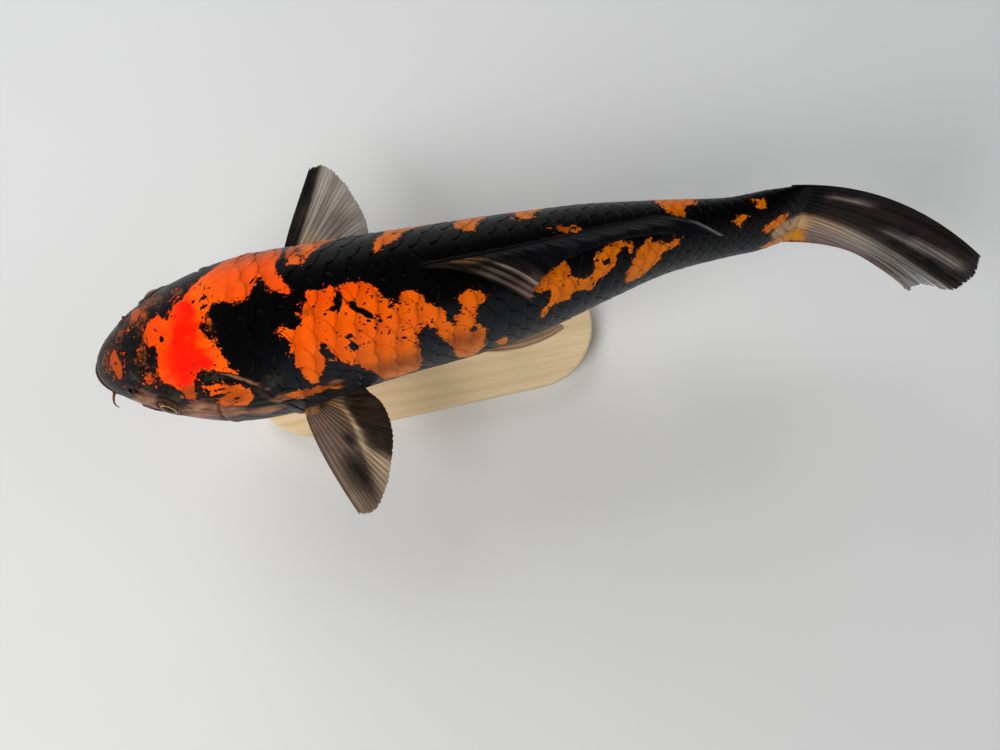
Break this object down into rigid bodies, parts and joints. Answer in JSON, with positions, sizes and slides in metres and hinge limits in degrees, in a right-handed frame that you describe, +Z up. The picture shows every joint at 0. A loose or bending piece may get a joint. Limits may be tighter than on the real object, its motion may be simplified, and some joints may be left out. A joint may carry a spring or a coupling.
{
  "type": "koi carp model on a display stand",
  "caption": "Life-size still koi carp, swimming with spread side fins and its tail swept to one side, on a low wooden base with two steel rods.",
  "frame": {"origin": "middle of the underside of the stand's base", "axes": "+X from the head to the tail, +Z up, -Y to the fish's left"},
  "size_m": [0.4678, 0.2154, 0.1792],
  "materials": {
    "bare_skin": "smooth, wet gloss, red to orange with black mottling",
    "scaled_skin": "glossy overlapping scales, orange with large black patches",
    "fin": "thin smoky web with pale and dark rays",
    "eye": "polished, black pupil in a brown and gold ring",
    "base_wood": "pale ash, satin oil",
    "rod_steel": "brushed"
  },
  "bodies": {
    "root": {"head": "bare_skin", "lower_jaw": "bare_skin", "gill_cover_left": "bare_skin", "gill_cover_right": "bare_skin", "barbel_long_left": "bare_skin", "barbel_long_right": "bare_skin", "barbel_short_left": "bare_skin", "barbel_short_right": "bare_skin", "eye_left": "eye", "eye_right": "eye", "trunk_front": "scaled_skin", "trunk_rear": "scaled_skin", "tail_stalk": "scaled_skin", "fin_dorsal": "fin", "fin_anal": "fin", "fin_tail_upper": "fin", "fin_tail_lower": "fin", "fin_pectoral_left": "fin", "fin_pectoral_right": "fin", "fin_pelvic_left": "fin", "fin_pelvic_right": "fin", "stand_base": "base_wood", "stand_rod_front": "rod_steel", "stand_rod_rear": "rod_steel"}
  },
  "joints": []
}
